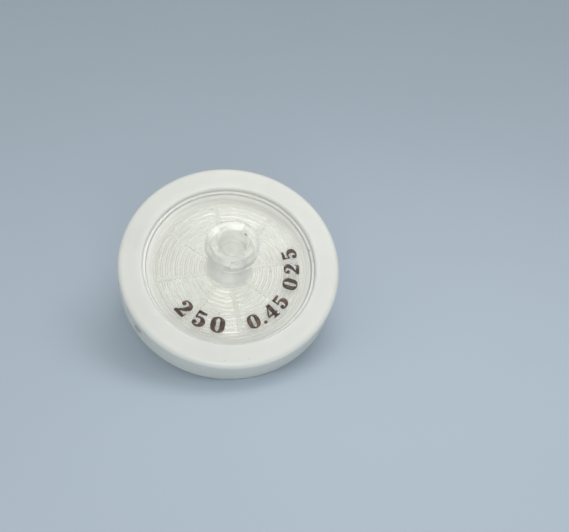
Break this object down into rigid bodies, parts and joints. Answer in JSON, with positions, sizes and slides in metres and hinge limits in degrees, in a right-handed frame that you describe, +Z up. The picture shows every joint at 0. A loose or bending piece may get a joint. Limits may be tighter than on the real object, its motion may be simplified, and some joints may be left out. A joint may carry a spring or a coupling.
{
  "type": "syringe filter",
  "caption": "Disc syringe filter: a membrane between two translucent moulded halves locked by a white ring, with a luer lock inlet socket and a luer slip outlet tip.",
  "frame": {"origin": "middle of the box's underside, on the surface that the filter lies on", "axes": "+Z up; the filter's axis lies in the YZ plane and leans 33.5 degrees from +Z, with the inlet towards -Y and the outlet tip down towards +Y; +X across the disc"},
  "size_m": [0.033, 0.03, 0.0223],
  "materials": {
    "ring_polypropylene": "opaque white moulded polypropylene, satin",
    "inlet_polypropylene": "natural translucent polypropylene, milky and faintly glossy",
    "outlet_polypropylene": "natural translucent polypropylene, milky and faintly glossy",
    "membrane_polymer": "white microporous film, dead matt"
  },
  "bodies": {
    "root": {"overmold_ring": "ring_polypropylene", "inlet_housing": "inlet_polypropylene", "outlet_housing": "outlet_polypropylene", "membrane": "membrane_polymer"}
  },
  "joints": []
}
